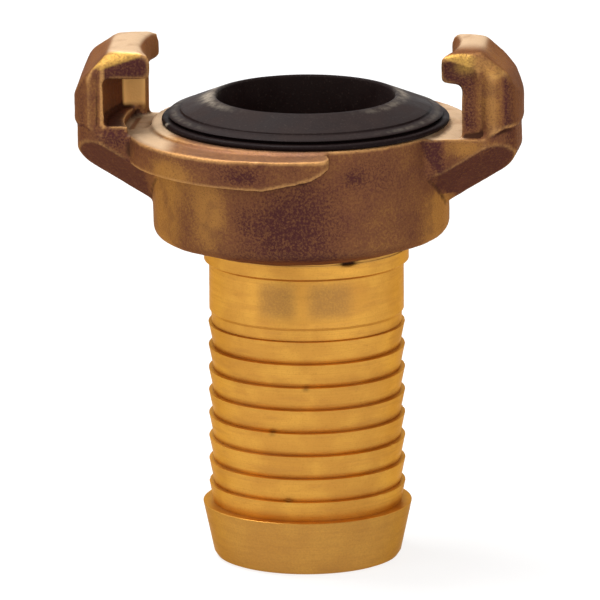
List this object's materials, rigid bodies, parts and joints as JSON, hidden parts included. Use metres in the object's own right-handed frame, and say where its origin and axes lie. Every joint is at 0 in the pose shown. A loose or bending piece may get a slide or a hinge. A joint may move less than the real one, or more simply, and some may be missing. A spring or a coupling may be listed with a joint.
{
  "type": "quick connect hose coupling",
  "caption": "Forged brass claw coupling half with a barbed hose tail, helical cam ledges, hooked claws and a rubber sealing ring.",
  "frame": {"origin": "centre of the hose tail's end face, on the turned axis of the waterway", "axes": "+Z along the waterway from the hose tail to the claws; the claws stand on +X and -X"},
  "size_m": [0.0581, 0.0446, 0.068],
  "materials": {
    "brass_body": "raw brown forging skin on the head and claws, satin turned tail",
    "rubber_seal": "matt moulded rubber, greyer on its cone"
  },
  "bodies": {
    "root": {"coupling_body": "brass_body", "sealing_ring": "rubber_seal"}
  },
  "joints": []
}
